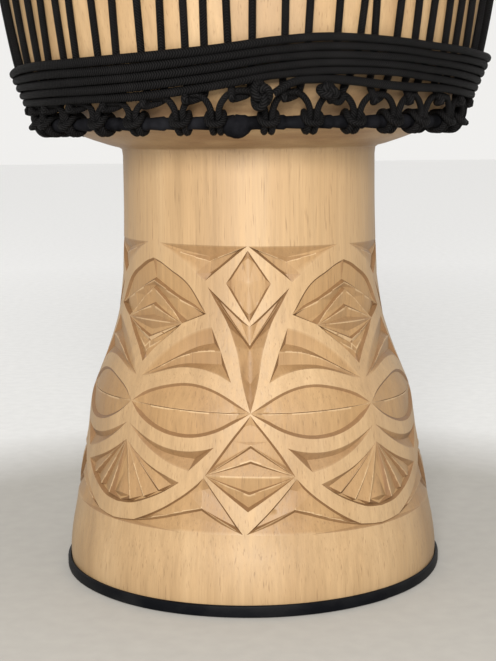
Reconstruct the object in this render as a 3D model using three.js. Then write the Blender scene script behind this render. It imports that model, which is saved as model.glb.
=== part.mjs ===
// A djembe: a rope-tuned goblet drum. One carved wooden shell, a goatskin head folded round a steel hoop,
// a cloth-wound steel ring above and another below, and rope. A rope hitched all round each ring makes
// a ring of loops, and one long tension rope is laced up and down through the loops. Its spare length is
// wound round the bowl above the lower ring.
// Millimetres, +Z up, the origin at the centre of the foot, on the floor. The front is -Y.
import * as THREE from "three";

// Driving dimensions.
const LOOPS = 32; // loops on each ring, so there are 64 upright strands; also the flats round the shell
const FIRST_HITCH = 4.5; // degrees from the front to a hitch on the lower ring
const ROPE = 4; // diameter of the tension rope
const LOOP_ROPE = 3.4; // diameter of the loops' rope, which is pulled tight
const STEEL = 5; // diameter of the upper and lower rings' steel
const HOOP = 6; // diameter of the flesh hoop's steel
const CLOTH = 1; // thickness of the cloth wound round a ring
const SKIN = 1; // thickness of the head
const HEAD_TOP = 600;
const GAP = 0.3; // between pieces that touch
const TAIL_TURNS = 5; // turns of the tension rope's spare length round the bowl

const PITCH = 360 / LOOPS;
const RUBBER = { inside: 99, outside: 119, floor: 3, height: 7 };
const LOWER_RING = { radius: 124.5, height: 276.5 };
const LOWER_ARCH = { radius: 133.2, height: 289 };
const CROWN_RING = { radius: 173, height: 559 };
const CROWN_ARCH = { radius: 164.8, height: 530 };
const FLESH_HOOP = { radius: 165.2, height: 546 };
const COLLAR = 160.3; // inside radius of the head where it hangs down beside the shell
const FLAP_TOP = 578;
const KNEES = [311, 400]; // heights at which the bowl's outside changes slope, and each strand with it

// The shell's outside from the foot up to the rim, as radius and height.
const OUTSIDE = [
  [116.6, RUBBER.floor + GAP],
  [116.8, 12],
  [113.4, 36],
  [108, 68],
  [102, 102],
  [91, 136],
  [84.9, 155],
  [80, 180],
  [78.2, 208],
  [78.2, 262],
  [87.3, 265],
  [104.9, 271.7],
  [118.5, 284],
  [126.5, 291],
  [138, KNEES[0]],
  [152.5, KNEES[1]],
  [160, 588],
];
// The rounded edge that the head is stretched over.
const BEARING_EDGE = [
  [158.6, 595],
  [154.5, HEAD_TOP - SKIN - GAP],
  [149.5, 597],
];
// The inside, from the rim down through the throat to the foot.
const INSIDE = [
  [145.5, 588],
  [139, 420],
  [126, 335],
  [112, 303],
  [84, 281],
  [57, 255],
  [54, 215],
  [60, 165],
  [84, 112],
  [100, RUBBER.floor + GAP],
];

const wood = new THREE.MeshStandardMaterial({ color: 0xd9ae74, roughness: 0.55, metalness: 0 });
const rubber = new THREE.MeshStandardMaterial({ color: 0x141518, roughness: 0.6, metalness: 0 });
const rope = new THREE.MeshStandardMaterial({ color: 0x17171a, roughness: 0.75, metalness: 0 });
const cloth = new THREE.MeshStandardMaterial({ color: 0x111114, roughness: 0.95, metalness: 0 });
const steel = new THREE.MeshStandardMaterial({ color: 0x9a9ca0, roughness: 0.4, metalness: 1 });
const goatskin = new THREE.MeshStandardMaterial({ color: 0xe6d8bd, roughness: 0.5, metalness: 0 });

const radians = THREE.MathUtils.degToRad;
const clothOutside = STEEL / 2 + GAP + CLOTH;

// A point of the drum: degrees round the axis from the front towards +X, then radius and height.
function onDrum(degrees, radius, height) {
  const turn = radians(degrees);
  return new THREE.Vector3(radius * Math.sin(turn), -radius * Math.cos(turn), height);
}

// Radii and heights round a centre, at angles in degrees: 0 is outwards and 90 is up.
function section(centre, size, angles) {
  return angles.map((angle) => {
    const turn = radians(angle);
    return [centre.radius + size * Math.cos(turn), centre.height + size * Math.sin(turn)];
  });
}

// The shell's outside radius at a height.
function shellRadius(height) {
  const above = OUTSIDE.findIndex(([, z]) => z > height);
  const [[r0, z0], [r1, z1]] = [OUTSIDE[above - 1], OUTSIDE[above]];
  return r0 + ((r1 - r0) * (height - z0)) / (z1 - z0);
}

// A solid of revolution about +Z from an outline of radii and heights, which runs anticlockwise.
function revolved(outline, firstDegrees = FIRST_HITCH) {
  const points = outline.map(([r, z]) => new THREE.Vector2(r, z));
  return new THREE.LatheGeometry(points, LOOPS, radians(firstDegrees)).rotateX(Math.PI / 2);
}

function closed(outline) {
  return [...outline, outline[0]];
}

function shellGeometry() {
  return revolved(closed([...OUTSIDE, ...BEARING_EDGE, ...INSIDE]));
}

// A strip under the foot's edge and up its outside.
function rubberGeometry() {
  const { inside, outside, floor, height } = RUBBER;
  const wall = OUTSIDE[1][0] + GAP;
  return revolved(
    closed([
      [inside, 0],
      [outside, 0],
      [outside, height],
      [wall, height],
      [wall, floor],
      [inside, floor],
    ]),
  );
}

function ringGeometry(centre, diameter, firstDegrees) {
  return revolved(closed(section(centre, diameter / 2, [0, 60, 120, 180, 240, 300])), firstDegrees);
}

// Cloth wound round a ring: a sleeve whose two edges leave a slit on the side that faces the shell.
function sleeveGeometry(centre, firstDegrees) {
  const angles = [-172, -120, -60, 0, 60, 120, 172];
  const outer = section(centre, clothOutside, angles);
  const inner = section(centre, clothOutside - CLOTH, angles.toReversed());
  return revolved(closed([...outer, ...inner]), firstDegrees);
}

// The head: a disc over the bearing edge, a collar down the outside of the shell, a fold round the flesh
// hoop, and a flap that comes back up between the collar and the crown ring.
function headGeometry() {
  const around = HOOP / 2 + GAP;
  const flap = COLLAR + SKIN + GAP;
  const rim = OUTSIDE.at(-1)[1];
  return revolved([
    [0, HEAD_TOP - SKIN],
    [155, HEAD_TOP - SKIN],
    [159.3, 595.9],
    [COLLAR, rim],
    [COLLAR, 544],
    ...section(FLESH_HOOP, around + SKIN, [-120, -60, 0, 60]),
    [flap + SKIN, 550.9],
    [flap + SKIN, FLAP_TOP],
    [flap, FLAP_TOP],
    [flap, 551],
    ...section(FLESH_HOOP, around, [120, 60, 0, -60, -120]),
    [COLLAR + SKIN, 545.5],
    [COLLAR + SKIN, rim],
    [160.2, 596.5],
    [155.5, HEAD_TOP],
    [0, HEAD_TOP],
  ]);
}

// A rope's route: straight from each point to the next, with one step of the extrusion for each.
class RopeRoute extends THREE.Curve {
  constructor(points) {
    super();
    this.points = points;
  }

  getPoint(t, target = new THREE.Vector3()) {
    const along = t * (this.points.length - 1);
    const first = Math.min(Math.floor(along), this.points.length - 2);
    return target.lerpVectors(this.points[first], this.points[first + 1], along - first);
  }

  getPointAt(u, target) {
    return this.getPoint(u, target);
  }

  // At a point of the route, the direction halfway between the stretches before and after it.
  getTangentAt(u, target = new THREE.Vector3()) {
    const last = this.points.length - 1;
    const at = Math.round(u * last);
    const here = this.points[at];
    const before = here.clone().sub(this.points[Math.max(at - 1, 0)]).normalize();
    const after = this.points[Math.min(at + 1, last)].clone().sub(here).normalize();
    return target.addVectors(before, after).normalize();
  }
}

function ropeGeometry(points, diameter) {
  const corners = [45, 135, 225, 315].map((angle) => {
    const turn = radians(angle);
    return new THREE.Vector2(Math.cos(turn), Math.sin(turn)).multiplyScalar(diameter / 2);
  });
  return new THREE.ExtrudeGeometry(new THREE.Shape(corners), {
    steps: points.length - 1,
    extrudePath: new RopeRoute(points),
    bevelEnabled: false,
  });
}

// A rope's points in one section of the drum after another, from one bearing round the drum to another.
function sweptPoints(sectionPoints, fromDegrees, toDegrees) {
  const step = (toDegrees - fromDegrees) / (sectionPoints.length - 1);
  return sectionPoints.map(([r, z], i) => onDrum(fromDegrees + i * step, r, z));
}

// A ring of loops: at each hitch the rope takes a turn round the ring, and then it runs on as an arch.
// side is 1 where the arches stand above their ring and -1 where they hang below it. leave and arrive
// are where the rope leaves a hitch and comes to the next, out from the ring's centre and up from it.
function loopsGeometry(ring, arch, firstHitch, side, leave, arrive) {
  const halfHitch = 1.4; // degrees
  const shoulder = 3.1; // degrees from a hitch to where its arch is level
  const turnSize = (clothOutside + GAP + LOOP_ROPE / 2) / Math.cos(radians(45));
  const turn = section(ring, turnSize, [90 * side, 0, -90 * side, 180]);
  const route = [];
  for (let loop = 0; loop < LOOPS; loop++) {
    const hitch = firstHitch + loop * PITCH;
    const next = hitch + PITCH;
    route.push(...sweptPoints(turn, hitch - halfHitch, hitch + halfHitch));
    route.push(onDrum(hitch + 1.7, ring.radius + leave[0], ring.height + leave[1]));
    if (loop === LOOPS - 1) break;
    route.push(onDrum(hitch + shoulder, arch.radius, arch.height));
    route.push(onDrum(next - shoulder, arch.radius, arch.height));
    if (arrive) route.push(onDrum(next - 1.6, ring.radius + arrive[0], ring.height + arrive[1]));
  }
  return ropeGeometry(route, LOOP_ROPE);
}

// Where the tension rope turns round an arch, from the shell's side of it to the far side. slope is the
// shell's lean there, in degrees from upright, and side is as for the loops.
function bendPoints(arch, side, slope) {
  const away = LOOP_ROPE / 2 + GAP + ROPE / 2 + 0.05;
  const cut = 1.7; // from an edge of the arch's section to where the bend's corner is cut off
  const lean = new THREE.Vector2(0, 0);
  return [
    [-away, cut],
    [-cut, away],
    [cut, away],
    [away, cut],
    [away, -cut],
  ].map(([out, beyond]) => {
    const { x, y } = new THREE.Vector2(out, -side * beyond).rotateAround(lean, radians(-slope));
    return [arch.radius + x, arch.height + y];
  });
}

// The tension rope: from each lower arch up to the upper arch beside it, round that, and down again.
function tensionRopeGeometry() {
  const halfBend = 1; // degrees
  const clear = 2.7; // from the shell to the middle of a strand, at a knee
  const lowerBend = bendPoints(LOWER_ARCH, 1, 43.8).toReversed();
  const upperBend = bendPoints(CROWN_ARCH, -1, 1);
  const knees = KNEES.map((height) => [shellRadius(height) + clear, height]);
  const climb = CROWN_ARCH.height - LOWER_ARCH.height;
  const strand = (bottom, top, heights) =>
    heights.map(([r, z]) => onDrum(bottom + ((top - bottom) * (z - LOWER_ARCH.height)) / climb, r, z));
  const route = [];
  for (let loop = 0; loop < LOOPS; loop++) {
    const lower = FIRST_HITCH + (loop + 0.5) * PITCH;
    const upper = lower + PITCH / 2;
    const next = lower + PITCH;
    route.push(...sweptPoints(lowerBend, lower - halfBend, lower + halfBend));
    route.push(...strand(lower + halfBend, upper - halfBend, knees));
    route.push(...sweptPoints(upperBend, upper - halfBend, upper + halfBend));
    if (loop < LOOPS - 1) route.push(...strand(next - halfBend, upper + halfBend, knees.toReversed()));
  }
  const last = FIRST_HITCH + (LOOPS - 0.5) * PITCH;
  route.push(...strand(last + PITCH - 3, last + PITCH / 2 + halfBend, knees.toReversed()));
  return ropeGeometry(route, ROPE);
}

// The tension rope's spare length, wound round the bowl over the strands. The turns spread out and climb
// towards +X.
function tailGeometry() {
  const route = [];
  for (let step = 0; step <= TAIL_TURNS * LOOPS; step++) {
    const degrees = FIRST_HITCH + step * PITCH;
    const toSide = Math.sin(radians(degrees));
    const height = 299.5 + 2.5 * toSide + (step / LOOPS) * (4.95 + 0.45 * toSide);
    route.push(onDrum(degrees, Math.max(145, shellRadius(height) + 2 * ROPE), height));
  }
  return ropeGeometry(route, ROPE);
}

// An overhand knot pulled tight, taller than it is wide, set against the drum at a bearing.
function knotMesh(name, size, degrees, radius, height) {
  const geometry = new THREE.TorusKnotGeometry(size, size * 0.42, 24, 5).scale(0.62, 1, 1);
  const knot = new THREE.Mesh(geometry, rope);
  knot.name = name;
  knot.position.copy(onDrum(degrees, radius, height));
  knot.rotation.set(Math.PI / 2, radians(degrees), 0);
  return knot;
}

const drum = new THREE.Group();
function add(name, geometry, material) {
  const mesh = new THREE.Mesh(geometry, material);
  mesh.name = name;
  drum.add(mesh);
}

const firstCrownHitch = FIRST_HITCH + PITCH / 2;
add("shell", shellGeometry(), wood);
add("rubber_foot_ring", rubberGeometry(), rubber);
add("lower_ring", ringGeometry(LOWER_RING, STEEL, FIRST_HITCH), steel);
add("lower_ring_cloth", sleeveGeometry(LOWER_RING, FIRST_HITCH), cloth);
add("lower_loops", loopsGeometry(LOWER_RING, LOWER_ARCH, FIRST_HITCH, 1, [1, 10]), rope);
add("crown_ring", ringGeometry(CROWN_RING, STEEL, firstCrownHitch), steel);
add("crown_ring_cloth", sleeveGeometry(CROWN_RING, firstCrownHitch), cloth);
add("crown_loops", loopsGeometry(CROWN_RING, CROWN_ARCH, firstCrownHitch, -1, [0, -11.5], [1, -13]), rope);
add("flesh_hoop", ringGeometry(FLESH_HOOP, HOOP, FIRST_HITCH), steel);
add("drum_head", headGeometry(), goatskin);
add("tension_rope", tensionRopeGeometry(), rope);
add("tension_rope_tail", tailGeometry(), rope);
drum.add(knotMesh("tension_rope_knot", 4.6, FIRST_HITCH, 140.5, 288));
drum.add(knotMesh("lower_loops_knot", 3.6, FIRST_HITCH + PITCH, 139.5, 287.5));
drum.add(knotMesh("crown_loops_knot", 3.6, firstCrownHitch, 171.5, 531));

export default drum;
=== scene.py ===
"""A djembe's looks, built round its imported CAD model: the carved shell, the goatskin head, and the rope,
cloth and rubber. Lengths are in millimetres until a mesh is made, and angles are degrees round the drum
from its front, -Y, towards +X."""

from math import cos, degrees, pi, radians, sin, sqrt, tan

import bmesh
import bpy
import numpy as np
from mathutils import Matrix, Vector
from mathutils.geometry import delaunay_2d_cdt


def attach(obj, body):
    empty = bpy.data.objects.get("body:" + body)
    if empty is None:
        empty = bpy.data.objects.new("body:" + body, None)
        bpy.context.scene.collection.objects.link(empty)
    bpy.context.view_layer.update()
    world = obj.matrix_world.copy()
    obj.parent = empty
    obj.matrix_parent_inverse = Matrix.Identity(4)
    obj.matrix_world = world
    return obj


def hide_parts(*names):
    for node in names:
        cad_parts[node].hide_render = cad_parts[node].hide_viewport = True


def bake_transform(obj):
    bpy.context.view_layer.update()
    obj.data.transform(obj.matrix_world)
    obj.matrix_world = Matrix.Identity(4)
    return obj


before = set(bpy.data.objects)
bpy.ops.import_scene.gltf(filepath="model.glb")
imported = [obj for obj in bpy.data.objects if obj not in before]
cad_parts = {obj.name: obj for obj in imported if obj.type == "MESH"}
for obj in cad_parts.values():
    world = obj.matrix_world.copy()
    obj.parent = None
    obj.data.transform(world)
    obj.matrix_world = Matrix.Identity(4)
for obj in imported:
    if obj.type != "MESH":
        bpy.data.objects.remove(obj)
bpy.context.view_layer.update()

MM = 0.001
LOOPS = 32
PITCH = 360 / LOOPS  # degrees from hitch to hitch
FIRST_HITCH = 4.5  # the bearing of the lower ring's first hitch
BAND = "along_rope"  # the ropes' UV map


# ---- camera, floor and light


def make_camera():
    """Level with the drum's waist and looking a little down, from 0.86 m in front of its axis."""
    data = bpy.data.cameras.new("camera")
    data.lens, data.sensor_width = 74.1, 36
    camera = bpy.data.objects.new("camera", data)
    bpy.context.collection.objects.link(camera)
    camera.location = (0, -0.855, 0.271)
    look_down, roll, turn = 90 - 8.257, 0.65, 0.02
    camera.rotation_euler = [radians(angle) for angle in (look_down, roll, turn)]
    bpy.context.scene.camera = camera


def make_floor():
    """A plain floor, grey where the drum stands and paler further off."""
    bpy.ops.mesh.primitive_plane_add(size=24)
    floor = bpy.context.object
    floor.name = "floor"
    material, tree, shader, place = new_material("pale_floor", Roughness=0.75, Specular_IOR_Level=0.2)
    away = node(tree, "VectorMath", {"operation": "LENGTH"}, i0=place).outputs["Value"]
    grey, pale, white = (0.38, 0.365, 0.335), (0.72, 0.72, 0.71), (0.93, 0.93, 0.93)
    colour = ramp(tree, math_node(tree, "DIVIDE", away, 4), (0.065, grey), (0.105, pale), (0.5, white))
    speckle = ramp(tree, noise(tree, place, 90, 4), (0.3, 0.94), (0.7, 1.0))
    tree.links.new(mix(tree, 1.0, colour, speckle, "MULTIPLY"), shader.inputs["Base Color"])
    floor.data.materials.append(material)


def make_light():
    """A bright, even room, with a soft window above and behind the camera."""
    world = bpy.data.worlds.new("world")
    world.use_nodes = True
    background = world.node_tree.nodes["Background"]
    background.inputs["Color"].default_value = (0.95, 0.94, 0.92, 1)
    background.inputs["Strength"].default_value = 0.92
    bpy.context.scene.world = world
    data = bpy.data.lights.new("window", "AREA")
    data.shape = "RECTANGLE"
    data.size, data.size_y = 0.6, 0.5
    data.energy = 56
    data.color = (1, 0.985, 0.97)
    window = bpy.data.objects.new("window", data)
    window.location = (-0.08, -1.75, 0.72)
    window.visible_camera = False
    aim = Vector((0, 0, 0.2)) - window.location
    window.rotation_euler = aim.to_track_quat("-Z", "Y").to_euler()
    bpy.context.collection.objects.link(window)
    bpy.context.scene.view_settings.view_transform = "Standard"


# ---- meshes


def mesh_object(name, vertices, faces, material, smooth_below):
    """An object from vertices in millimetres, smooth across edges that bend by less than an angle."""
    mesh = bpy.data.meshes.new(name)
    mesh.from_pydata((np.asarray(vertices) * MM).tolist(), [], [list(map(int, f)) for f in faces])
    mesh.validate()
    mesh.shade_smooth()
    mesh.set_sharp_from_angle(angle=radians(smooth_below))
    mesh.materials.append(material)
    piece = bpy.data.objects.new(name, mesh)
    bpy.context.collection.objects.link(piece)
    return piece


def spline(points, steps):
    """A curve through points, as a Catmull-Rom spline with so many steps between two points."""
    p = np.asarray(points, float)
    p = np.vstack([2 * p[0] - p[1], p, 2 * p[-1] - p[-2]])
    out = []
    for a, b, c, d in zip(p, p[1:], p[2:], p[3:]):
        for t in np.arange(steps) / steps:
            bend, swing = 2 * a - 5 * b + 4 * c - d, 3 * b - a - 3 * c + d
            out.append(0.5 * (2 * b + (c - a) * t + bend * t**2 + swing * t**3))
    out.append(p[-2])
    return np.array(out)


# ---- the shell's outline

# The outside as radius and height, where it curves smoothly: the foot, and the bowl above its underside.
FOOT_OUTSIDE = [
    (116.8, 9), (116.6, 16), (115, 28), (112.4, 41), (109.8, 58), (107.2, 73), (103.6, 92), (100.6, 111),
    (96, 123.5), (90.9, 136), (86, 150), (82.6, 163), (80.2, 180), (79.2, 195), (78.6, 210), (78.2, 230),
    (78.1, 258),
]
BOWL_OUTSIDE = [
    (80, 263), (88, 265.2), (104.9, 271.7), (118.5, 283.6), (126.8, 291.5), (132.8, 300), (137.8, 311),
    (141.6, 329), (145.6, 352), (149.6, 378), (153.2, 408), (155.6, 445), (157.2, 490), (158.8, 540),
    (159.8, 585),
]
CARVED_FROM, CARVED_TO = 30.0, 220.0
FACET = 1.5  # degrees between the vertices round the shell


def outline_radius(height):
    """The foot's outside radius at heights, and the outward normal's radial and upward parts."""
    curve = spline(FOOT_OUTSIDE, 8)
    radius = np.interp(height, curve[:, 1], curve[:, 0])
    above = np.interp(height + 1, curve[:, 1], curve[:, 0])
    below = np.interp(height - 1, curve[:, 1], curve[:, 0])
    slope = (above - below) / 2
    length = np.sqrt(1 + slope**2)
    return radius, 1 / length, -slope / length


# ---- the carving
#
# The carving repeats every 90 degrees and is the same on both sides of its two kinds of axis, A at the
# front and B 45 degrees from it, so half a motif is drawn. Each point is (degrees from axis A, height,
# depth), with depths negative below the surface, and the cuts are flat or ruled between the lines.

AXIS_A, AXIS_B = 0.0, 45.0
STAR_A, STAR_B = (0, 113.7, 0), (45, 115, 0)
CURVE_STEPS = 4  # straight lines between two points of a curve


def with_depth(points):
    """Points as (degrees, height, depth): one without a depth is at the surface."""
    return [tuple(p) + (0,) * (3 - len(p)) for p in points]


class Carving:
    """The points and lines of a drawing. Points at the same place are one point."""

    def __init__(self):
        self.points, self.edges, self.index = [], [], {}

    def point(self, p):
        turn, height, depth = map(float, with_depth([p])[0])
        p = (min(max(turn, AXIS_A), AXIS_B), height, depth)
        key = (round(p[0], 3), round(p[1], 3))
        if key not in self.index:
            self.index[key] = len(self.points)
            self.points.append(p)
        return self.index[key]

    def mark(self, *points):
        """Depths at points between the lines."""
        for p in points:
            self.point(p)

    def line(self, *points):
        """A cut's edge, ridge or valley, straight from each point to the next."""
        ids = [self.point(p) for p in points]
        self.edges += [(a, b) for a, b in zip(ids, ids[1:]) if a != b]

    def curve(self, *points):
        self.line(*spline(with_depth(points), CURVE_STEPS))

    def wall(self, edge, width, depth, steps, ends=(0.12, 0.12)):
        """The foot of a steep wall below an edge, which starts and ends with the edge, over those shares
        of its length. It lies to the edge's right, or to its left if width is negative."""
        scale = np.array([radians(outline_radius(edge[:, 1].mean())[0]), 1.0])
        flat = edge[:, :2] * scale
        gone = np.r_[0, np.cumsum(np.linalg.norm(np.diff(flat, axis=0), axis=1))]
        gone /= gone[-1]
        near = 0.03
        foot = [tuple(edge[0])]
        for t in np.linspace(0, 1, steps + 1)[1:-1]:
            here, ahead, behind = (
                np.array([np.interp(share, gone, flat[:, i]) for i in (0, 1)])
                for share in (t, min(t + near, 1), max(t - near, 0))
            )
            along = (ahead - behind) / np.linalg.norm(ahead - behind)
            full = min(1, t / ends[0], (1 - t) / ends[1])
            place = (here + np.array([along[1], -along[0]]) * width * full) / scale
            foot.append((*place, depth * full))
        foot.append(tuple(edge[-1]))
        self.line(*foot)

    def edge(self, points, width, depth, **options):
        """An edge at the surface, as a curve through points, with a wall's foot beside it."""
        points = with_depth(points)
        edge = spline(points, CURVE_STEPS) if len(points) > 2 else np.array(points, float)
        self.line(*edge)
        self.wall(edge, width, depth, max(6, len(edge) - 1), **options)


def draw_diamond(c):
    """The diamond on axis A, in a flat band."""
    c.edge([(0, 204.5), (9.25, 185.5)], 0.9, -1.7)
    c.edge([(9.25, 185.5), (0, 163.5)], 0.9, -1.7)
    c.mark((0, 200, -0.7), (0, 186, -0.15), (0, 168, -0.7))


def draw_top_cut(c):
    """The cut beside the diamond, under the carving's top line."""
    tip, inner, corner = (41.5, 207.2), (0.3, 206.9), (18.4, 186.4)
    c.line(inner, tip)
    c.line(inner, (16.8, 200.6, -2.7), tip)
    c.line(inner, (16.4, 197.8, -1.2), (30, 202.4, -0.9), tip)
    c.edge([inner, corner], -1.5, -2.8)
    c.curve(corner, (24, 192.3), (30, 198.6), (36, 203.8), tip)
    c.line((16.4, 197.8, -1.2), (17.0, 191.0, -2.2), corner)


def draw_groove(c):
    """The chevrons under the band, and the long groove down to the star."""
    band = (17.2, 183.2)
    c.edge([band, (0, 161)], -1.2, -2.0, ends=(0.35, 0.01))
    c.line(band, (0, 150.8, -0.8))
    c.line(band, (12, 172.2, -0.9), (7.4, 163, -2.2), (3, 154.6, -3), (0, 148.9, -3.3))
    c.curve(band, (13.9, 175.2), (9, 163.3), (6, 152), (4.5, 144.5), (3.3, 134.5), (1.9, 124.5), STAR_A)
    c.mark((0, 130, -2.6), (0, 119, -1.2))


def draw_blades(c):
    """Two curved blades between the star and axis B."""
    top, middle, bottom, far = (15.3, 160.3), (11.1, 147), (6.7, 130), (43.8, 129.4)
    c.line(top, middle, bottom)
    c.curve(top, (20, 158.5), (25, 155.2), (30, 151), (35, 145.4), (40, 137.8), far)
    upper_foot, lower_foot = (14.3, 151.8, -2.8), (10.7, 140.3, -2.6)
    c.line(top, upper_foot, middle)
    c.curve(upper_foot, (20, 149.9, -2.6), (25, 146.6, -2.1), (30, 142.2, -1.6), (37, 135.8, -0.9), far)
    crest = [(15, 147, -0.2), (20, 146.1, -0.2), (25, 144, -0.2), (30, 140.7, -0.2), (37, 134.8, -0.1)]
    c.curve(middle, *crest, far)
    c.line(middle, lower_foot, bottom)
    valley = [(15, 140.3, -2.4), (20, 140.1, -2.2), (26, 139.2, -1.7), (32, 136.5, -1.2), (38, 132.9, -0.6)]
    c.curve(lower_foot, *valley, far)
    lower = [(11, 133.6), (16, 136.1), (20, 137), (25, 137), (30, 135.7), (36, 132.7), (40, 130.5)]
    c.curve(bottom, *lower, far)


def draw_leaf(c):
    """The leaf from star to star, with a seam along it."""
    turns = range(5, 45, 5)
    above = zip(turns, [119.3, 123.9, 127, 128.5, 128.4, 126.9, 124.6, 121.2])
    below = zip(turns, [108.4, 103.5, 100.3, 98.7, 98.8, 100.2, 103.2, 107.8])
    c.edge([STAR_A, *above, STAR_B], 1.3, -1.2)
    c.edge([STAR_A, *below, STAR_B], -1.9, -1.9)
    for away, depth in ((0.25, -1.5), (0, -2.0), (-0.25, -1.5)):
        seam = [(4, 113.8 + away), (14, 113.9 + away), (24, 114.2 + away), (36, 114.7 + away * 0.8)]
        c.line(STAR_A, *((*p, depth) for p in seam), STAR_B)


def draw_crescent(c):
    """The crescent under the leaf."""
    near, foot, end = (11.7, 94.2), (19.6, 80), (44.4, 102.4)
    c.curve(near, (15, 92.4), (20, 91), (25, 91), (30, 92.4), (35, 95), (40, 98.7), end)
    c.line(near, foot)
    c.curve(foot, (25, 82.3), (30, 85.8), (35, 90.3), (40, 96), end)
    c.line(near, (18.4, 87, -2.9), foot)
    c.curve((18.4, 87, -2.9), (24, 87.5, -2.3), (30, 89.3, -1.8), (36, 93.4, -1.2), end)


def draw_pleats(c):
    """The fan of pleats under star A."""
    side = (14, 78.3)
    c.edge([(0, 112.6), (5.4, 100.8), (10.2, 89), side], 1.2, -1.5, ends=(0.15, 0.2))
    c.mark((0, 107.5, -1.5), (0, 98, -1.5))
    folds = [
        (96, -0.7), (94.3, -2.4), (87.3, -0.7), (85.8, -2.5), (78.5, -0.4), (70, -2.6), (68.4, -0.8),
        (61.4, -3), (59, 0),
    ]
    for height, depth in folds:
        c.line(side, (0, height, depth))


def draw_base_cuts(c):
    """The pointed cuts at the carving's foot, on both sides of a flat V."""
    head, root, out = (14.4, 77), (0.5, 46.2), (36.5, 48)
    c.edge([head, root], -1.1, -2.4)
    c.edge([head, (17, 72), (20, 67), (23.5, 62), (27, 57.5), (30.5, 53.6), (34, 50.2), out], 1.0, -1.5)
    c.line(head, (14.7, 70, -2), (14.2, 60, -0.7))
    c.line(root, (14.2, 60, -0.7), (20, 57, -0.9), (25, 54, -0.8), (30, 51.2, -0.5), out)
    c.line(out, (41, 46.8), (45, 46.2))
    valley = [(7.5, 51.6, -1.4), (14.3, 58.3, -2.3), (20, 55.3, -2.3), (25, 52.3, -2.1), (30, 49.7, -1.7)]
    c.line(root, *valley, (36.5, 47.2, -1.2), (45, 45.7, -0.6))
    c.line(root, (20, 45.6), (45, 45))


def draw_slats(c):
    """The fan of slats on axis B."""
    apex, corner = (45, 92.5), (22.3, 73)
    c.curve(corner, (30, 77.8), (35, 81.6), (40, 86.6), apex)
    c.curve(corner, (28, 65.8), (33.8, 60.5), (39, 57), (45, 55.8))
    c.line(apex, (40, 85.9, -0.6), (35, 80.3, -1.1), (30, 75.9, -1.5), (25.4, 71.3, -2))
    c.line(corner, (25.4, 71.3, -2))
    c.line(corner, (28.3, 66.6, -2.4), (34.1, 61.4, -2.4), (39.3, 58, -2.4), (45, 56.9, -2.2))
    crests = [(28.9, 67.5, -0.3), (34.4, 62.4, -0.3), (39.8, 59.1, -0.3)]
    valleys = [(30.1, 66.4, -2.6), (35.7, 62.1, -2.6), (41.2, 60.3, -2.7)]
    for crest, valley in zip(crests, valleys):
        c.line(apex, crest)
        c.line(apex, valley)
    c.mark((45, 84, -1.5), (45, 74.5, -2.4), (45, 61.5, -0.5), (45, 58.6, -2.2))


def draw_drop(c):
    """The drop on axis B, with nested kites in it."""
    point, kite = (17.7, 167.6), (28.3, 161.3)
    top = [(45, 198), (40, 195.7), (35, 192), (30, 188.4), (26.5, 184.8), (24, 181), (21.3, 175.7), point]
    c.edge(top, -1.3, -1.5, ends=(0.01, 0.12))
    c.edge([point, kite], -1.0, -2.6)
    c.line(point, (23.5, 172.7, -2.2), (31, 177, -2.4), (38, 181.9, -2.4), (45, 186.4, -2.4))
    c.line(point, (24, 171.3, -0.8), (31, 175.6, -0.6), (38, 180.3, -0.5), (45, 184.7, -0.4))
    c.line(kite, (32.5, 168.5, -2.4), (38, 175, -2.4), (45, 181.8, -2.2))
    c.line(kite, (33, 167.5, -1), (38, 173.5, -0.8), (45, 180.3, -0.5))
    folds = [
        (172, -2.6), (170.2, -0.7), (164.6, -2.6), (161, -0.4), (156.4, -2.6), (153, -2.4), (151.3, -0.7),
        (149.3, -2.1),
    ]
    for height, depth in folds:
        c.line(kite, (45, height, depth))
    c.edge([kite, (32, 156.3), (36, 151.3), (40.5, 145.3), (45, 137.5)], -1.2, -1.7, ends=(0.12, 0.01))
    c.line((39, 150.3, -1.6), (45, 144.2, -0.6))


FIGURES = [
    draw_diamond, draw_top_cut, draw_groove, draw_blades, draw_leaf, draw_crescent, draw_pleats,
    draw_base_cuts, draw_slats, draw_drop,
]


def draw_carving():
    carving = Carving()
    for draw in FIGURES:
        draw(carving)
    low, high = CARVED_FROM, CARVED_TO
    carving.line((AXIS_A, low), (AXIS_B, low), (AXIS_B, high), (AXIS_A, high), (AXIS_A, low))
    return carving


# ---- the shell

CREASE = 4.0  # degrees: cuts that meet at more than this meet in a crisp line
RIDGE = 14.0  # degrees: ridges sharper than this get a painted highlight along the top
LEAN = tan(radians(1.1))  # the carver's lines run down to the right, across the front
# The motifs also stray sideways: degrees at heights.
STRAY = [
    (CARVED_FROM, 0), (46, -2.4), (59, -1.4), (73, -0.8), (90, -0.4), (150, -0.4), (206, -0.9),
    (CARVED_TO, 0),
]
SLICE = 5  # millimetres of height between the cuts' slices
MEAN_RADIUS = 95  # the carved foot's
HIGHLIGHT_BELOW = -0.12  # only ridges deeper than this get the painted highlight


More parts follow.
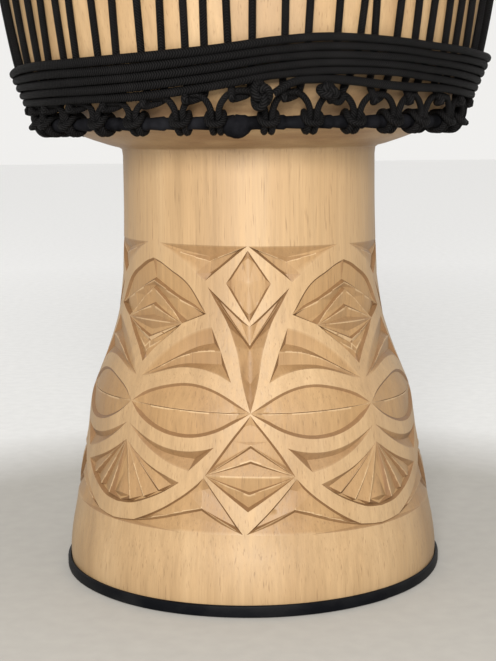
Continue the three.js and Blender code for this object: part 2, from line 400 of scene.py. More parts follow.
def carved_half():
    """Half a motif as triangles of (degrees, height, depth), sliced so that it bends round the foot."""
    drawing = draw_carving()
    flat = [Vector(p[:2]) for p in drawing.points]
    places, edges, faces, sources, drawn, _ = delaunay_2d_cdt(flat, drawing.edges, [], 0, 1e-5)
    cut = bmesh.new()
    made = [cut.verts.new((*place, drawing.points[source[0]][2])) for place, source in zip(places, sources)]
    for face in faces:
        cut.faces.new([made[i] for i in face])
    # A drawn line is marked as a seam, which its pieces keep when they are sliced.
    for ends, lines in zip(edges, drawn):
        edge = cut.edges.get([made[i] for i in ends])
        if edge and lines:
            edge.seam = True
    slices = [((u, 0, 0), (1, 0, 0)) for u in np.arange(FACET, AXIS_B, FACET)]
    slices += [((0, z, 0), (0, 1, 0)) for z in np.arange(CARVED_FROM + SLICE, CARVED_TO, SLICE)]
    for place, across in slices:
        everything = cut.verts[:] + cut.edges[:] + cut.faces[:]
        bmesh.ops.bisect_plane(cut, geom=everything, dist=0.02, plane_co=place, plane_no=across)
    bmesh.ops.triangulate(cut, faces=cut.faces[:])
    cut.verts.index_update()
    points = np.array([v.co[:] for v in cut.verts])
    triangles = [[v.index for v in f.verts] for f in cut.faces]
    # Slopes and creases are measured on the cuts laid out flat, in millimetres.
    for v in cut.verts:
        v.co.x *= radians(MEAN_RADIUS)
    cut.normal_update()
    steep = [sqrt(max(0, 1 - min(1, abs(f.normal.z)) ** 2)) for f in cut.faces]
    creases, ridge = [], np.zeros(len(points))
    for e in cut.edges:
        bend = degrees(e.calc_face_angle_signed(0)) if len(e.link_faces) == 2 else 0
        if abs(bend) > CREASE:
            ends = [v.index for v in e.verts]
            creases.append(tuple(ends))
            below = all(v.co.z < HIGHLIGHT_BELOW for v in e.verts)
            ridge[ends] = np.maximum(ridge[ends], e.seam and bend > RIDGE and below)
    cut.free()
    return points, triangles, np.array(steep), creases, ridge


def on_foot(turn, height, depth):
    """The foot's surface at bearings in degrees, with a cut's depth along the normal."""
    turn = np.radians(turn + np.interp(height, *zip(*STRAY)))
    fade = np.interp(height, [CARVED_FROM, 45, 208, CARVED_TO], [0, 1, 1, 0])
    height = height - LEAN * fade * outline_radius(height)[0] * np.sin(turn)
    radius, outwards, upwards = outline_radius(height)
    radius = radius + outwards * depth
    return np.stack([radius * np.sin(turn), -radius * np.cos(turn), height + upwards * depth], 1)


def lathe(profile, columns=240, closed=False):
    """Vertices and quads of a surface of revolution from (radius, height) pairs, up the outside first."""
    profile = np.asarray(profile, float)
    turn = np.radians(np.arange(columns) * 360 / columns)
    radius, height = profile[:, :1], profile[:, 1:]
    heights = np.broadcast_to(height, (len(profile), columns))
    vertices = np.stack([radius * np.sin(turn), -radius * np.cos(turn), heights], 2).reshape(-1, 3)
    faces = []
    for row in range(len(profile) if closed else len(profile) - 1):
        a, b = row * columns, (row + 1) % len(profile) * columns
        faces += [(a + i, a + (i + 1) % columns, b + (i + 1) % columns, b + i) for i in range(columns)]
    return vertices, faces


RIM = [
    (160, 588), (159.7, 592), (158.4, 595.3), (156.6, 597.8), (154.2, 598.6), (151.6, 598.2), (149, 596.5),
]
INSIDE = [
    (145.5, 588), (144, 520), (139, 420), (133, 370), (126, 335), (112, 303), (84, 281), (63, 262),
    (56, 245), (54, 215), (60, 165), (84, 112), (95, 50), (100, 12),
]


def shell_profile():
    """The shell's outline but for its carved part: up from that, over the rim, down inside and back."""
    stem = [(outline_radius(z)[0], z) for z in np.arange(CARVED_TO, 258, 6)] + [(78.1, 258), (78.6, 262)]
    base = [(100, 4.5), (101, 3.4), (115.4, 3.4), (116.4, 4.4)]
    base += [(outline_radius(z)[0], z) for z in (9, 14, 19, 24, CARVED_FROM)]
    return [*stem, *spline(BOWL_OUTSIDE, 4), *RIM, *spline(INSIDE, 4), *base]


def make_shell(material):
    """The turned outline and 8 half motifs, with the depth, steepness and ridge marks by which the wood's
    material paints shade into the cuts and a highlight along the ridges.
    """
    half, triangles, steep, creases, ridge = carved_half()
    vertices, faces = lathe(shell_profile())
    steepness = [np.zeros(len(faces))]
    vertices, faces, crisp = [vertices], list(faces), set()
    depths, ridges = [np.zeros(len(vertices[0]))], [np.zeros(len(vertices[0]))]
    for quarter in range(4):
        for side in (1, -1):
            start = sum(len(v) for v in vertices)
            vertices.append(on_foot(90 * quarter + side * half[:, 0], half[:, 1], half[:, 2]))
            depths.append(-half[:, 2])
            ridges.append(ridge)
            faces += [[start + i for i in triangle[::side]] for triangle in triangles]
            steepness.append(steep)
            crisp |= {frozenset((start + a, start + b)) for a, b in creases}
    piece = mesh_object("carved_shell", np.vstack(vertices), faces, material, 40)
    mesh = piece.data
    for name, values in (("carved", depths), ("ridge", ridges)):
        marks = mesh.attributes.new(name, "FLOAT", "POINT")
        marks.data.foreach_set("value", np.concatenate(values).astype(np.float32))
    walls = mesh.attributes.new("steep", "FLOAT", "FACE")
    walls.data.foreach_set("value", np.concatenate(steepness).astype(np.float32))
    whole = bmesh.new()
    whole.from_mesh(mesh)
    for edge in whole.edges:
        if frozenset(v.index for v in edge.verts) in crisp:
            edge.smooth = False
    bmesh.ops.remove_doubles(whole, verts=whole.verts[:], dist=0.03 * MM)
    bmesh.ops.recalc_face_normals(whole, faces=whole.faces[:])
    whole.to_mesh(mesh)
    whole.free()
    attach(piece, "drum")
    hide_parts("shell")


# ---- materials


def node(tree, kind, settings=None, **inputs):
    """A shader node. Its inputs are values or other nodes' outputs, by name, or by number as i0, i1."""
    made = tree.nodes.new("ShaderNode" + kind)
    for key, value in (settings or {}).items():
        setattr(made, key, value)
    for key, value in inputs.items():
        socket = made.inputs[int(key[1:])] if key[1:].isdigit() else made.inputs[key.replace("_", " ")]
        if isinstance(value, bpy.types.NodeSocket):
            tree.links.new(value, socket)
        else:
            socket.default_value = value
    return made


def math_node(tree, operation, *values):
    inputs = {f"i{i}": value for i, value in enumerate(values)}
    return node(tree, "Math", {"operation": operation}, **inputs).outputs[0]


def noise(tree, place, scale, detail=3, roughness=0.5):
    """Noise at a place stretched by a scale, or by one along each axis."""
    scale = scale if isinstance(scale, tuple) else (scale, scale, scale)
    stretched = node(tree, "Mapping", Vector=place, Scale=scale).outputs[0]
    return node(tree, "TexNoise", Vector=stretched, Scale=1, Detail=detail, Roughness=roughness).outputs[0]


def ramp(tree, factor, *stops):
    """A value or colour that runs through stops of (position, colour or value)."""
    made = node(tree, "ValToRGB", Fac=factor)
    elements = made.color_ramp.elements
    while len(elements) < len(stops):
        elements.new(0.5)
    for element, (position, colour) in zip(elements, stops):
        element.position = position
        element.color = (*colour, 1) if isinstance(colour, tuple) else (colour, colour, colour, 1)
    return made.outputs[0]


def mix(tree, factor, a, b, blend="MIX"):
    made = node(tree, "Mix", {"data_type": "RGBA", "blend_type": blend})
    for index, value in ((0, factor), (6, a), (7, b)):
        if isinstance(value, bpy.types.NodeSocket):
            tree.links.new(value, made.inputs[index])
        else:
            made.inputs[index].default_value = (*value, 1) if isinstance(value, tuple) else value
    return made.outputs[2]


def new_material(name, **constants):
    """A material, its tree, its shader, and the place on the object that its patterns are laid by."""
    material = bpy.data.materials.new(name)
    material.use_nodes = True
    tree = material.node_tree
    shader = tree.nodes["Principled BSDF"]
    for key, value in constants.items():
        shader.inputs[key.replace("_", " ")].default_value = value
    return material, tree, shader, node(tree, "TexCoord").outputs["Object"]


def paint(tree, shader, colour, roughness):
    tree.links.new(colour, shader.inputs["Base Color"])
    tree.links.new(roughness, shader.inputs["Roughness"])


def set_bump(tree, shader, height, distance, strength):
    bump = node(tree, "Bump", Height=height, Distance=distance, Strength=strength)
    tree.links.new(bump.outputs[0], shader.inputs["Normal"])


def wood_material():
    """Pale hardwood with its grain upright: soft bands, fibres and short dark pores. The cuts are a warmer
    brown than the finished surface, darker with depth and darkest where steep, both painted shade. Their
    ridges carry a painted highlight, and the bowl's underside has painted streaks of shade."""
    material, tree, shader, place = new_material("carved_wood", Specular_IOR_Level=0.3)
    bands = noise(tree, place, (30, 30, 2.4), 4, 0.6)
    fibres = noise(tree, place, (460, 460, 11), 3, 0.6)
    pores = noise(tree, place, (1200, 1200, 70), 1)
    stains = noise(tree, place, (11, 11, 4.5), 4)
    marks = [node(tree, "Attribute", {"attribute_name": name}) for name in ("carved", "steep", "ridge")]
    depth, steep, ridge = (mark.outputs["Fac"] for mark in marks)
    dark, middle, pale = (0.262, 0.165, 0.08), (0.322, 0.209, 0.104), (0.37, 0.25, 0.132)
    surface = ramp(tree, bands, (0.3, dark), (0.5, middle), (0.72, pale))
    # The cuts' ground: a warmer brown tint, made darker with depth as painted shade.
    cut_tint_and_shade = ramp(tree, bands, (0.3, (0.226, 0.126, 0.05)), (0.7, (0.298, 0.18, 0.077)))
    colour = mix(tree, ramp(tree, depth, (0.03, 0.0), (0.45, 0.85)), surface, cut_tint_and_shade)
    # Steep walls painted dark brown: painted shade in the cuts.
    colour = mix(tree, ramp(tree, steep, (0.22, 0.0), (0.72, 0.82)), colour, (0.15, 0.074, 0.029))
    # A painted highlight along the crests of the ridges.
    colour = mix(tree, ramp(tree, ridge, (0.72, 0.0), (0.9, 0.75)), colour, (0.42, 0.29, 0.16))
    colour = mix(tree, 1.0, colour, ramp(tree, fibres, (0.3, 0.84), (0.7, 1.0)), "MULTIPLY")
    colour = mix(tree, ramp(tree, stains, (0.56, 0.0), (0.78, 0.4)), colour, (0.19, 0.125, 0.08))
    colour = mix(tree, ramp(tree, pores, (0.62, 0.0), (0.76, 0.45)), colour, (0.125, 0.068, 0.032))
    level = node(tree, "SeparateXYZ", Vector=place).outputs[2]
    # Darker streaks painted on the bowl's underside: painted shade under its overhang.
    shade_under_bowl = ramp(tree, level, (0.258, 0.0), (0.268, 1.0), (0.283, 0.8), (0.305, 0.0))
    streaks = ramp(tree, noise(tree, place, (16, 16, 130), 4, 0.6), (0.42, 0.0), (0.62, 0.75))
    colour = mix(tree, math_node(tree, "MULTIPLY", shade_under_bowl, streaks), colour, (0.16, 0.085, 0.04))
    paint(tree, shader, colour, ramp(tree, fibres, (0.2, 0.42), (0.8, 0.6)))
    height = math_node(tree, "SUBTRACT", fibres, math_node(tree, "MULTIPLY", pores, 0.6))
    set_bump(tree, shader, height, 0.0003, 0.4)
    return material


def rope_material():
    """Black braided cord. A UV map holds millimetres along the rope, and turns round it."""
    material, tree, shader, place = new_material("black_rope", Specular_IOR_Level=0.05)
    split = node(tree, "SeparateXYZ", Vector=node(tree, "UVMap", {"uv_map": BAND}).outputs[0])
    rows = math_node(tree, "PINGPONG", math_node(tree, "MULTIPLY", split.outputs[1], 4), 1)
    along = math_node(tree, "MULTIPLY", split.outputs[0], 1 / 1.5)
    phase = math_node(tree, "ADD", along, math_node(tree, "MULTIPLY", rows, 1.5))
    strand = math_node(tree, "SINE", math_node(tree, "MULTIPLY", phase, 2 * pi))
    strand = math_node(tree, "MULTIPLY_ADD", strand, 0.5, 0.5)
    fuzz = noise(tree, place, 2500, 2)
    wear = noise(tree, place, 60, 3)
    # The braid painted dark between its strands and lighter on their crests: painted shade and painted
    # highlight.
    colour = mix(tree, strand, (0.0006, 0.0006, 0.0006), (0.0075, 0.007, 0.007))
    colour = mix(tree, ramp(tree, wear, (0.5, 0.0), (0.75, 0.3)), colour, (0.011, 0.01, 0.01))
    paint(tree, shader, colour, ramp(tree, fuzz, (0.3, 0.5), (0.7, 0.8)))
    set_bump(tree, shader, math_node(tree, "MULTIPLY_ADD", fuzz, 0.3, strand), 0.0005, 0.9)
    return material


def cloth_material():
    """Black cotton strip, with a fine weave and paler where it has rubbed."""
    material, tree, shader, place = new_material("black_cloth", Specular_IOR_Level=0.04)
    weave = noise(tree, place, 1800, 2)
    rub = noise(tree, place, 90, 4)
    colour = ramp(tree, rub, (0.35, (0.0015, 0.0015, 0.002)), (0.7, (0.008, 0.008, 0.0095)))
    paint(tree, shader, colour, ramp(tree, weave, (0.3, 0.7), (0.7, 0.95)))
    set_bump(tree, shader, weave, 0.0004, 0.6)
    return material


def rubber_material():
    material, tree, shader, place = new_material("foot_rubber", Specular_IOR_Level=0.08)
    grain = noise(tree, place, 900, 2)
    dust = noise(tree, place, (35, 35, 60), 4)
    colour = ramp(tree, dust, (0.45, (0.0015, 0.0018, 0.0028)), (0.8, (0.009, 0.009, 0.0095)))
    paint(tree, shader, colour, ramp(tree, dust, (0.3, 0.4), (0.7, 0.62)))
    set_bump(tree, shader, grain, 0.0002, 0.5)
    return material


def skin_material():
    """Shaved goatskin: cream, mottled, darker along the back's line, with pores."""
    material, tree, shader, place = new_material("goatskin", Specular_IOR_Level=0.4, Subsurface_Weight=0.08)
    shader.inputs["Subsurface Scale"].default_value = 0.004
    cloud = noise(tree, place, 14, 5, 0.6)
    pores = noise(tree, place, 700, 2)
    split = node(tree, "SeparateXYZ", Vector=place)
    wander = math_node(tree, "MULTIPLY_ADD", cloud, 0.05, -0.025)
    spine = math_node(tree, "ABSOLUTE", math_node(tree, "ADD", split.outputs[0], wander))
    fawn, cream, pale = (0.62, 0.48, 0.32), (0.76, 0.65, 0.48), (0.83, 0.75, 0.6)
    colour = ramp(tree, cloud, (0.3, fawn), (0.55, cream), (0.75, pale))
    colour = mix(tree, ramp(tree, spine, (0.004, 0.55), (0.03, 0.0)), colour, (0.42, 0.29, 0.17))
    colour = mix(tree, ramp(tree, pores, (0.6, 0.0), (0.75, 0.35)), colour, (0.45, 0.33, 0.2))
    paint(tree, shader, colour, ramp(tree, cloud, (0.3, 0.42), (0.7, 0.6)))
    set_bump(tree, shader, pores, 0.0002, 0.5)
    return material


def steel_material():
    material, tree, shader, place = new_material("hoop_steel", Metallic=1.0)
    rust = noise(tree, place, 120, 4)
    colour = ramp(tree, rust, (0.45, (0.42, 0.42, 0.43)), (0.7, (0.2, 0.12, 0.07)))
    paint(tree, shader, colour, ramp(tree, rust, (0.4, 0.3), (0.7, 0.7)))
    return material


# ---- rope

ROPE = 2.0  # the tension rope's half thickness
LOOP_ROPE = 1.85  # the loops' half thickness
KNOTTED = 2.25  # a rope's half thickness in a knot
CLOTH = 3.8  # a covered ring's half thickness


def on_drum(turn, radius, height):
    turn = np.radians(turn)
    return np.stack(np.broadcast_arrays(radius * np.sin(turn), -radius * np.cos(turn), height), -1)


def shell_radius(height):
    """The bowl's outside radius at heights."""
    curve = spline(BOWL_OUTSIDE, 4)
    return np.interp(height, curve[:, 1], curve[:, 0])


def section_sides(path, tangent, square):
    """The direction to a tube's side at each point: square to the drum, or turned as little as may be."""
    outwards = path * (1, 1, 0)
    side = outwards[0] - tangent[0] * (outwards[0] @ tangent[0])
    sides = []
    for here, out in zip(tangent, outwards):
        side = out if square else side
        side = side - here * (side @ here)
        side = side / np.linalg.norm(side)
        sides.append(side)
    return np.array(sides)


def tube(path, across, sides, upright=None):
    """A tube along a path in millimetres: its vertices, its faces, and (millimetres along, turns round) for
    each corner of each face. across is its half thickness, or one for each point; if upright is given, that
    is its half height likewise, and the section stays square to the drum."""
    path = np.asarray(path, float)
    kept = np.r_[True, np.linalg.norm(np.diff(path, axis=0), axis=1) > 1e-6]
    across = np.broadcast_to(across, len(path))[kept]
    other = across if upright is None else np.broadcast_to(upright, len(path))[kept]
    path = path[kept]
    tangent = np.gradient(path, axis=0)
    tangent /= np.linalg.norm(tangent, axis=1)[:, None]
    gone = np.r_[0, np.cumsum(np.linalg.norm(np.diff(path, axis=0), axis=1))]
    side = section_sides(path, tangent, upright is not None)
    first, second = side[:, None, :], np.cross(tangent, side)[:, None, :]
    angle = np.arange(sides) * 2 * pi / sides
    ring = first * np.cos(angle)[None, :, None] * across[:, None, None]
    ring = ring + second * np.sin(angle)[None, :, None] * other[:, None, None]
    vertices = (path[:, None, :] + ring).reshape(-1, 3)
    faces, along = [], []
    for row in range(len(path) - 1):
        a, b = row * sides, (row + 1) * sides
        here, there = gone[row], gone[row + 1]
        for i in range(sides):
            j = (i + 1) % sides
            left, right = i / sides, (i + 1) / sides
            faces.append((a + i, a + j, b + j, b + i))
            along.append([(here, left), (here, right), (there, right), (there, left)])
    for row in (0, len(path) - 1):
        a, middle = row * sides, len(vertices) + (row > 0)
        for i in range(sides):
            j = (i + 1) % sides
            faces.append((a + j, a + i, middle) if row == 0 else (a + i, a + j, middle))
            along.append([(gone[row], 0.5)] * 3)
    return np.vstack([vertices, path[:1], path[-1:]]), faces, along


def make_tube(name, shape, material, replaced, body):
    """A piece from a tube."""
    vertices, faces, along = shape
    piece = mesh_object(name, vertices, faces, material, 60)
    band = piece.data.uv_layers.new(name=BAND)
    corners = np.array([corner for face in along for corner in face], np.float32)
    band.data.foreach_set("uv", corners.ravel())
    if body:
        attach(piece, body)
    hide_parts(replaced)
    return piece


class Ring:
    """A covered ring with loops hitched to it, seen across it: slope is how far the loops lean outwards
    from upright, and side is 1 where they stand up and -1 where they hang."""

    def __init__(self, radius, height, slope, side):
        self.radius, self.height, self.side = radius, height, side
        lean = radians(slope)
        self.front = np.array([cos(lean), -sin(lean) * side])
        self.away = np.array([sin(lean), cos(lean) * side])

    def place(self, bearing, points):
        """Points of (along the ring, out to the front, towards the loops) in millimetres at a bearing."""
        points = np.asarray(points, float)
        section = points[:, 1:2] * self.front + points[:, 2:3] * self.away
        turn = bearing + np.degrees(points[:, 0] / self.radius)
        return on_drum(turn, self.radius + section[:, 0], self.height + section[:, 1])


# Half a cow hitch: from the middle of the bar across its front, round behind a leg, round the ring, up the
# leg, and over to its loop.
HALF_HITCH = [
    (0, 7.4, 5.2), (2.1, 7.1, 5.2), (3.8, 5.4, 5.4), (4.3, 2.2, 5.9), (3.6, -1.8, 5.4), (2.3, -5.0, 2.0),
    (1.95, -4.6, -2.6), (1.9, -0.6, -5.1), (1.95, 3.8, -3.4), (1.95, 5.2, 0.4), (1.85, 3.9, 5.0),
    (1.9, 2.9, 8.0),
]
LEG_FROM = 8.0  # how far from the ring's centre a hitch's legs are free of it
LOWER_LEG = [(2.2, 1.6, 11.0), (3.4, 0.1, 14.0), (5.4, -1.2, 16.8), (7.8, -1.9, 18.8)]
CROWN_LEG = [(2.4, 1.0, 11.6), (4.2, -1.6, 18.0), (7.0, -5.0, 24.5), (10.0, -7.6, 28.2)]
LOWER_RING = Ring(124.5, 276.5, 40, 1)
CROWN_RING = Ring(173, 559, 0, -1)
LOWER_ARCH = (135.5, 292.7)  # radius and height of an arch's middle
# How far the lower arches stand below that, in millimetres at bearings.
SUNK = [
    (-180, 2.5), (-90, 4.2), (-30, 4.4), (-20, 2.6), (-12, 1.0), (0, 0), (10, 0.4), (28, 2.0), (60, 2.2),
    (180, 2.5),
]
UNDERSIDE = 0.7  # and how much further in for each millimetre down
CROWN_ARCH = (164.8, 530)

# How far the front's hitches have slid from their even spacing, in degrees, by number from FIRST_HITCH.
SLID = {-4: 1.2, -3: 1.1, -2: 1.9, -1: -0.9, 0: 0.2, 1: -0.6, 2: -0.9, 3: -0.7, 4: -2.2, 5: 0.5}


def signed(number):
    """A hitch's number counted from the front both ways, so negative to the left."""
    return (number + LOOPS // 2) % LOOPS - LOOPS // 2


def hitch_bearing(number, first):
    """A hitch's bearing. The lower ring's are those counted from FIRST_HITCH."""
    number = signed(number)
    if first == FIRST_HITCH:
        slid = SLID.get(number, 0.7 * sin(number * 2.4))
    else:
        slid = 0.5 * sin(number * 1.7)
    return first + number * PITCH + slid


def sunk_arch(arch, bearing):
    """An arch's radius and height at a bearing. The lower ones lie along the bowl's underside."""
    sunk = np.interp((bearing + 180) % 360 - 180, *zip(*SUNK)) if arch == LOWER_ARCH else 0
    return arch[0] - UNDERSIDE * sunk, arch[1] - sunk


def loops_path(ring, arch, leg, first, tied, knot):
    """One rope hitched to a ring again and again, with an arch to each next hitch. Its ends are tied beside
    the hitch of that number, in a knot at (bearing, radius, height)."""
    half = np.array(HALF_HITCH + leg)
    whole = np.vstack([half[::-1] * (-1, 1, 1), half[1:]])
    bearing, knot_radius, knot_height = knot
    droop = [
        (0.8, knot_radius, knot_height),
        (1.8, (knot_radius + arch[0]) / 2, arch[1] - 5 * ring.side),
        (3.3, arch[0] + 0.8, arch[1] - 6.2 * ring.side),
        (4.6, arch[0] + 0.2, arch[1] - 3 * ring.side),
    ]
    route = [on_drum(bearing + turn, r, h)[None] for turn, r, h in droop]
    for number in range(tied + 1, tied + LOOPS + 1):
        here = hitch_bearing(number, first)
        following = hitch_bearing(number + 1, first)
        following += 360 if following < here else 0
        sway = 0.3 * sin(number * 3.1)
        # Where the arches stand lower, the legs are that much shorter.
        sunk = (arch[1] - sunk_arch(arch, here)[1]) / abs(ring.away[1])
        shorter = LEG_FROM + (whole[:, 2] - LEG_FROM) * (1 - sunk / (leg[-1][2] - LEG_FROM))
        reach = np.where(whole[:, 2] > LEG_FROM, shorter, whole[:, 2])
        route.append(ring.place(here, np.c_[whole[:, :2], reach]))
        if number < tied + LOOPS:
            middle = (here + following) / 2
            radius, height = sunk_arch(arch, middle)
            route += [on_drum(middle + turn, radius, height + sway)[None] for turn in (-0.8, 0, 0.8)]
    route.append(on_drum(bearing + 1, knot_radius, knot_height + 1.5 * ring.side)[None])
    route.append(on_drum(bearing, knot_radius, knot_height)[None])
    return spline(np.vstack(route), 3)


def bend_round(arch, side, slope, bearing, half_turn):
    """Where the tension rope turns round an arch: from the shell's side of it to the far side, in a plane
    that leans by slope, and over half_turn to each side of a bearing, all in degrees."""
    away = LOOP_ROPE + ROPE + 0.05
    angles = np.radians(np.linspace(180, 360, 7))
    out, beyond = away * np.cos(angles), side * away * np.sin(angles)
    lean = radians(-slope)
    x = out * cos(lean) - beyond * sin(lean)
    y = out * sin(lean) + beyond * cos(lean)
    share = np.array([-1, -0.93, -0.75, 0, 0.75, 0.93, 1])
    turns = bearing + half_turn * share
    return on_drum(turns, arch[0] + x, arch[1] + y)


# Where the front's strands cross the bowl above the windings, in degrees: the pair on each lower arch.
PAIRS = {
    -7: (-72.5, -63.0), -6: (-56, -50.4), -5: (-45.0, -40.6), -4: (-34.2, -28.8), -3: (-23.0, -17.9),
    -2: (-13, -8.9), -1: (-4.3, 1.1), 0: (7.8, 13), 1: (19.4, 25.1), 2: (27.6, 34), 3: (39, 43.9),
    4: (49.4, 54.4), 5: (59.6, 67),
}
LOWER_BEND, UPPER_BEND = 2.1, 1.0  # degrees from an arch's middle to where a strand leaves it
LOWER_SLOPE, UPPER_SLOPE = 43.8, 1  # how far the bends round the arches lean, in degrees
HUG = ROPE + 0.2  # from the bowl to the middle of a strand that lies on it
FREE_FROM = 408  # the height above which a strand runs straight, clear of the bowl
STRAND_HEIGHTS = np.array([303, 311, 330, 352, 378, FREE_FROM, 445, 485])


def strand(foot, foot_height, knee, top, side):
    """A strand from a lower arch, up over the bowl's curve and on to an upper arch."""
    heights = np.r_[foot_height + 5.5, STRAND_HEIGHTS]
    hug = shell_radius(heights) + HUG
    leaves = shell_radius(FREE_FROM) + HUG
    straight = np.interp(heights, [FREE_FROM, CROWN_ARCH[1]], [leaves, CROWN_ARCH[0] + 4 * side])
    radius = np.where(heights > FREE_FROM, np.maximum(straight, hug), hug)
    turning = [foot, (foot + 2 * knee) / 3, knee, top]
    turns = np.interp(heights, [foot_height, 311, 345, CROWN_ARCH[1]], turning)
    return on_drum(turns, radius, heights)


def tension_path():
    """The laced rope's route, all the way round: down to a lower arch, round it, and up to the next upper
    arch."""
    route = [bend_round(CROWN_ARCH, -1, UPPER_SLOPE, FIRST_HITCH, UPPER_BEND)[-1:]]
    for number in range(LOOPS):
        centre = (hitch_bearing(number, FIRST_HITCH) + hitch_bearing(number + 1, FIRST_HITCH)) / 2
        even = FIRST_HITCH + (number + 0.5) * PITCH
        centre = even + ((centre - even + 90) % 180 - 90)
        pair = PAIRS.get(signed(number), (even - 2.5, even + 2.5 + 0.6 * sin(number * 4.0)))
        falling, rising = (bearing + 360 * round((even - bearing) / 360) for bearing in pair)
        upper_before, upper = even - PITCH / 2, even + PITCH / 2
        arch = sunk_arch(LOWER_ARCH, centre)
        route.append(strand(centre - LOWER_BEND, arch[1], falling, upper_before + UPPER_BEND, 1)[::-1])
        # Down outside the arch, under it, and up between it and the shell.
        route.append(bend_round(arch, 1, LOWER_SLOPE, centre, -LOWER_BEND)[::-1])
        route.append(strand(centre + LOWER_BEND, arch[1], rising, upper - UPPER_BEND, -1))
        route.append(bend_round(CROWN_ARCH, -1, UPPER_SLOPE, upper, UPPER_BEND))
    return np.vstack(route)


# The windings: the lowest turn's height at bearings after the big knot, and the height from turn to turn.
WINDINGS = [
    (0, 296.2, 4.2), (12, 298.8, 4.1), (28, 298.2, 4.0), (45, 295.4, 4.05), (80, 292.2, 4.3),
    (175, 293.6, 4.4), (265, 291.0, 4.1), (300, 289.8, 4.8), (327, 290.6, 4.9), (345, 294.6, 4.6),
    (360, 300.4, 4.2),
]
WOUND = 5 * 360 + 150  # degrees from the windings' start to their end
CLEAR = 6.0  # millimetres from the bowl to the windings' middle, outside the laced strands


def winding_path():
    """The spare rope, wound more than five times round the bowl: from the big knot to an end that is tucked
    down behind the turns at the back. Also its half height at each point."""
    turns = np.arange(9, WOUND, 3.0)
    bearing = FIRST_HITCH + turns
    table = spline(WINDINGS, 6)
    lowest, step = (np.interp(turns % 360, table[:, 0], table[:, i]) for i in (1, 2))
    number = turns // 360
    height = lowest + number * step
    height += 0.3 * np.sin(np.radians(bearing * 2.3) + 1.0) * np.sin(np.radians(bearing * 7.1))
    height -= np.where(number == 0, 2.4, 0) * np.exp(-(((turns - 30) / 14) ** 2))
    leaning = 138.4 + 0.43 * (height - 296)
    radius = np.maximum(leaning, shell_radius(height) + CLEAR)
    wound = on_drum(bearing, radius, height)
    start = on_drum(*np.array([(5.5, 139.5, 291), (8.0, 140.2, 295), (10.5, 140.6, 297.6)]).T)
    tuck = np.array([(2.5, -1.5, -2), (5, -4, -6), (7, -4.5, -10)])
    end = on_drum(bearing[-1] + tuck[:, 0], radius[-1] + tuck[:, 1], height[-1] + tuck[:, 2])
    starting = spline(np.vstack([start, wound[:1]]), 3)[:-1]
    ending = spline(np.vstack([wound[-1:], end]), 4)[1:]
    # The upper turns are pressed together, and bulge until they touch.
    half_height = np.where(number == 0, 2.4, step / 2 + 0.15)
    half_height = np.r_[np.full(len(starting), 2.2), half_height, np.full(len(ending), 2.3)]
    return np.vstack([starting, wound, ending]), half_height


def knot_path(size, bearing, radius, height, tilt):
    """An overhand knot pulled tight. size is its half width, half height and half depth, rope included."""
    t = np.linspace(0, 2 * pi, 90)
    open_by = 1.9
    away = (open_by + np.cos(3 * t)) / (open_by + 1)
    wide, tall, thick = size
    across, upwards, deep = np.cos(2 * t) * away * wide, np.sin(2 * t) * away * tall, np.sin(3 * t) * thick
    lean = radians(tilt)
    across, upwards = across * cos(lean) - upwards * sin(lean), across * sin(lean) + upwards * cos(lean)
    return on_drum(bearing + np.degrees(across / radius), radius + deep, height + upwards)


LAP = 5.0  # degrees between the cloth's turns
# A lump in the lower ring's cloth: its bearing, how much thicker it is, and how far it sags.
LUMP = (357.0, 3.2, 2.0)
LUMP_SPREAD = 2.5  # degrees


def covered_ring(ring, lump=(0, 0, 0)):
    """Strips of cloth wound round a ring. Each turn laps over the last, so the sleeve is lightly stepped."""
    turn = FIRST_HITCH + np.arange(0, 360.01, 0.6)
    lap = (turn / LAP + 0.25 * np.sin(turn * 0.21)) % 1
    bearing, thicker, sag = lump
    bulge = np.exp(-(((turn - bearing + 180) % 360 - 180) / LUMP_SPREAD) ** 2)
    across = CLOTH - 0.7 + 0.85 * lap + 0.12 * np.sin(np.radians(turn * 17)) + thicker * bulge
    return tube(on_drum(turn, ring.radius, ring.height - sag * bulge), across, 16)


# Where the knots are: bearing, radius and height.
TENSION_KNOT = (2.7, 141.3, 290.2)
LOWER_KNOT = (17.3, 140.4, 292.2)
CROWN_KNOT = (10.2, 171.5, 531)
# Each knot's name, half size, lean in degrees, place, body and CAD node.
KNOTS = [
    ("tension_rope_end_knot", (4.2, 6.5, 2.5), 0, TENSION_KNOT, "drum", "tension_rope_knot"),
    ("lower_loops_end_knot", (3.0, 4.4, 2.2), 70, LOWER_KNOT, "drum", "lower_loops_knot"),
    ("crown_loops_end_knot", (3.0, 5.0, 2.0), 0, CROWN_KNOT, "hoops", "crown_loops_knot"),
]


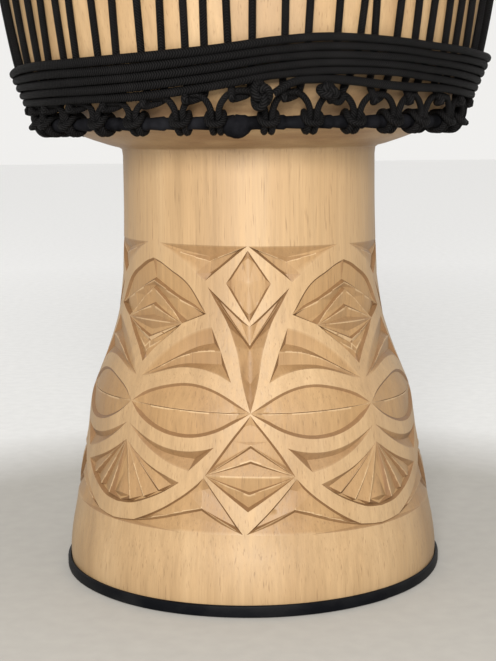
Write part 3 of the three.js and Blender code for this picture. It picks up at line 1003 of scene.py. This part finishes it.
def make_ropes(rope, cloth):
    lower = loops_path(LOWER_RING, LOWER_ARCH, LOWER_LEG, FIRST_HITCH, 1, LOWER_KNOT)
    make_tube("lower_loops_rope", tube(lower, LOOP_ROPE, 8), rope, "lower_loops", "drum")
    crown = loops_path(CROWN_RING, CROWN_ARCH, CROWN_LEG, FIRST_HITCH + PITCH / 2, 0, CROWN_KNOT)
    make_tube("crown_loops_rope", tube(crown, LOOP_ROPE, 8), rope, "crown_loops", "hoops")
    lacing = tube(spline(tension_path(), 3), ROPE, 10)
    laced = make_tube("tension_rope_laced", lacing, rope, "tension_rope", None)
    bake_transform(laced)
    wound, half_height = winding_path()
    windings = tube(wound, ROPE, 12, upright=half_height)
    make_tube("tension_rope_windings", windings, rope, "tension_rope_tail", "drum")
    for name, size, lean, place, body, replaced in KNOTS:
        make_tube(name, tube(knot_path(size, *place, lean), KNOTTED, 12), rope, replaced, body)
    wraps = [
        ("lower_ring_wrap", covered_ring(LOWER_RING, LUMP), "lower_ring_cloth", "drum"),
        ("crown_ring_wrap", covered_ring(CROWN_RING), "crown_ring_cloth", "hoops"),
    ]
    for name, sleeve, replaced, body in wraps:
        make_tube(name, sleeve, cloth, replaced, body)


# ---- skin and rubber


FLESH_HOOP = (165.2, 546)  # the hoop's radius and height
HEAD_COLUMNS = 256
FLAP_FROM, FLAP_TO = 556, 580  # the heights between which the flap ripples


def round_hoop(away, angles):
    """Points round the flesh hoop's section, at angles in degrees from outwards."""
    radius, height = FLESH_HOOP
    turns = [radians(angle) for angle in angles]
    return [(radius + away * cos(turn), height + away * sin(turn)) for turn in turns]


def head_profile():
    """The skin's section, from the head's middle underneath, round the hoop and the flap, to its top."""
    top = [(r, 600 - 0.1 * cos(r / 30)) for r in (4, 20, 50, 80, 110, 135, 148)]
    edge = [(153.5, 599.9), (156.5, 599.3), (159, 597.2), (160.6, 594), (161.2, 588)]
    under = [(160.2, 588), (159.6, 594), (158.2, 596.6), (155.8, 598.4), (152, 599)]
    low = [(r, 598.9 - 0.1 * cos(r / 30)) for r in (146, 110, 80, 50, 20, 4)]
    inside = [(160.3, 575), (160.3, 560), (160.4, 548)]
    outside = [(161.4, 548), (161.3, 560), (161.3, 575)]
    flap_out = [(167.4, 553.5), (163.4, 558), (163.2, 566), (163.2, 573), (163.4, 577.6)]
    flap_in = [(162.5, 577.9), (162.2, 573), (162.2, 566), (162.3, 558), (164, 551.5)]
    below = [*low[::-1], *under[::-1], *inside, *round_hoop(4.3, range(-120, 61, 20)), *flap_out]
    above = [*flap_in, *round_hoop(3.3, range(120, -1, -20)), *outside, *edge[::-1], *top[::-1]]
    return below + above


def make_head(material):
    """Goatskin: over the edge, down the shell's outside, round the flesh hoop, and back up as a flap."""
    profile = head_profile()
    vertices, faces = lathe(profile, HEAD_COLUMNS)
    centre = len(vertices)
    vertices = np.vstack([vertices, [(0, 0, 598.8)], [(0, 0, 599.9)]])
    last = (len(profile) - 1) * HEAD_COLUMNS
    faces += [((i + 1) % HEAD_COLUMNS, i, centre) for i in range(HEAD_COLUMNS)]
    faces += [(last + i, last + (i + 1) % HEAD_COLUMNS, centre + 1) for i in range(HEAD_COLUMNS)]
    turn = np.arctan2(vertices[:, 0], -vertices[:, 1])
    radius = np.hypot(vertices[:, 0], vertices[:, 1])
    on_flap = (radius > 161.9) * (vertices[:, 2] < FLAP_TO)
    flap = np.clip((vertices[:, 2] - FLAP_FROM) / 20, 0, 1) * on_flap
    ripple = flap * (0.55 + 0.55 * np.sin(turn * 23 + 1.4 * np.sin(turn * 5)))
    vertices[:, :2] *= ((radius + ripple) / np.maximum(radius, 1))[:, None]
    vertices[:, 2] += flap * 2.2 * (np.sin(turn * 7 + 1) * np.sin(turn * 3)) - flap * 1.0
    piece = mesh_object("goatskin_head", vertices, faces, material, 50)
    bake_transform(piece)
    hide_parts("drum_head")


RUBBER_JOINT = 41  # the bearing where the strip's ends meet


def make_rubber(material):
    """A strip of rubber round the foot's edge and under it. Its two ends meet, not quite evenly."""
    profile = [
        (99, 0.4), (99.4, 0), (117.8, 0), (118.7, 0.5), (119, 1.5), (119, 5.6), (118.8, 6.6), (118.2, 7),
        (117.3, 7), (117.1, 6.6), (117, 3.2), (100, 3), (99, 2.6),
    ]
    vertices, faces = lathe(profile, closed=True)
    turn = np.degrees(np.arctan2(vertices[:, 0], -vertices[:, 1]))
    radius = np.hypot(vertices[:, 0], vertices[:, 1])
    since_joint = ((turn - RUBBER_JOINT) % 360) / 360
    outer = np.clip((radius - 116.9) / 1.5, 0, 1)
    moved = outer * (0.5 * since_joint - 0.2 + 0.12 * np.sin(np.radians(turn * 9)))
    vertices[:, :2] *= ((radius + moved) / radius)[:, None]
    raised = 0.5 * since_joint + 0.25 * np.sin(np.radians(turn * 5 + 40)) - 0.3
    vertices[:, 2] += outer * (vertices[:, 2] > 4) * raised
    piece = mesh_object("rubber_foot_strip", vertices, faces, material, 40)
    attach(piece, "drum")
    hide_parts("rubber_foot_ring")


def paint_steel(steel):
    """The rings stay as CAD made them, under their own material."""
    for name in ("lower_ring", "crown_ring", "flesh_hoop"):
        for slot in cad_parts[name].material_slots:
            slot.material = steel


# ---- making it


def main():
    make_camera()
    make_floor()
    make_light()
    make_shell(wood_material())
    make_ropes(rope_material(), cloth_material())
    make_head(skin_material())
    make_rubber(rubber_material())
    paint_steel(steel_material())


main()
